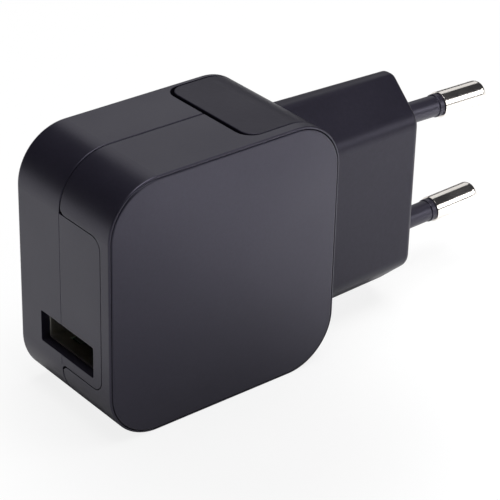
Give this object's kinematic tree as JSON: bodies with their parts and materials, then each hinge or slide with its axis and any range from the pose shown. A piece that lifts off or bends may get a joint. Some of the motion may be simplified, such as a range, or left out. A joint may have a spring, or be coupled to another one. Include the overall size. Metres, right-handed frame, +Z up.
{
  "type": "usb wall charger",
  "caption": "Compact wall charger with a rounded square body, one USB-A socket, a front plate and a lift-off two-pin plug head.",
  "frame": {"origin": "centre of the plug's end face, midway between the two pins, which is where the wall socket's face comes", "axes": "+X out of the plug along the pins, +Z up towards the live pin, -Y the broad front face; the USB socket opens to -X"},
  "size_m": [0.0779, 0.0225, 0.0398],
  "materials": {
    "body_plastic": "fine matt texture",
    "face_plastic": "fine satin texture",
    "plug_plastic": "fine matt texture",
    "inner_plastic": "moulded",
    "pin_metal": "polished nickel plate",
    "sleeve_plastic": "smooth",
    "contact_metal": "stamped",
    "live_insulation": "smooth",
    "neutral_insulation": "smooth",
    "board_laminate": "lacquered laminate",
    "ferrite": "sintered",
    "winding_tape": "taped",
    "capacitor_sleeve": "shrunk sleeve",
    "resistor_lacquer": "lacquered",
    "capacitor_lacquer": "lacquered",
    "package_epoxy": "moulded",
    "socket_steel": "plated sheet",
    "socket_plastic": "moulded",
    "card_board": "pressed card"
  },
  "bodies": {
    "charger_body": {"rear_shell": "body_plastic", "front_shell": "body_plastic", "face_plate": "face_plastic", "contact_carrier": "inner_plastic", "live_spring": "contact_metal", "neutral_spring": "contact_metal", "live_lead": "live_insulation", "neutral_lead": "neutral_insulation", "main_board": "board_laminate", "usb_board": "board_laminate", "transformer_core_rear": "ferrite", "transformer_core_front": "ferrite", "transformer_bobbin": "inner_plastic", "transformer_winding": "winding_tape", "bulk_capacitor_upper": "capacitor_sleeve", "bulk_capacitor_lower": "capacitor_sleeve", "output_capacitor_left": "capacitor_sleeve", "output_capacitor_right": "capacitor_sleeve", "filter_choke": "ferrite", "fuse_resistor": "resistor_lacquer", "safety_capacitor": "capacitor_lacquer", "bridge_rectifier": "package_epoxy", "switching_controller": "package_epoxy", "optocoupler": "package_epoxy", "output_diode": "package_epoxy", "usb_shell": "socket_steel", "usb_insulator": "socket_plastic", "usb_contacts": "contact_metal", "insulating_card": "card_board"},
    "plug_head": {"plug_housing": "plug_plastic", "rail_cover": "inner_plastic", "live_pin": "pin_metal", "neutral_pin": "pin_metal", "live_pin_sleeve": "sleeve_plastic", "neutral_pin_sleeve": "sleeve_plastic", "live_contact_strip": "contact_metal", "neutral_contact_strip": "contact_metal"}
  },
  "joints": [
    {"name": "plug_head_slide", "type": "slide", "parent": "charger_body", "child": "plug_head", "axis": [0, 0, 1], "range_m": [0, 0.036]}
  ]
}
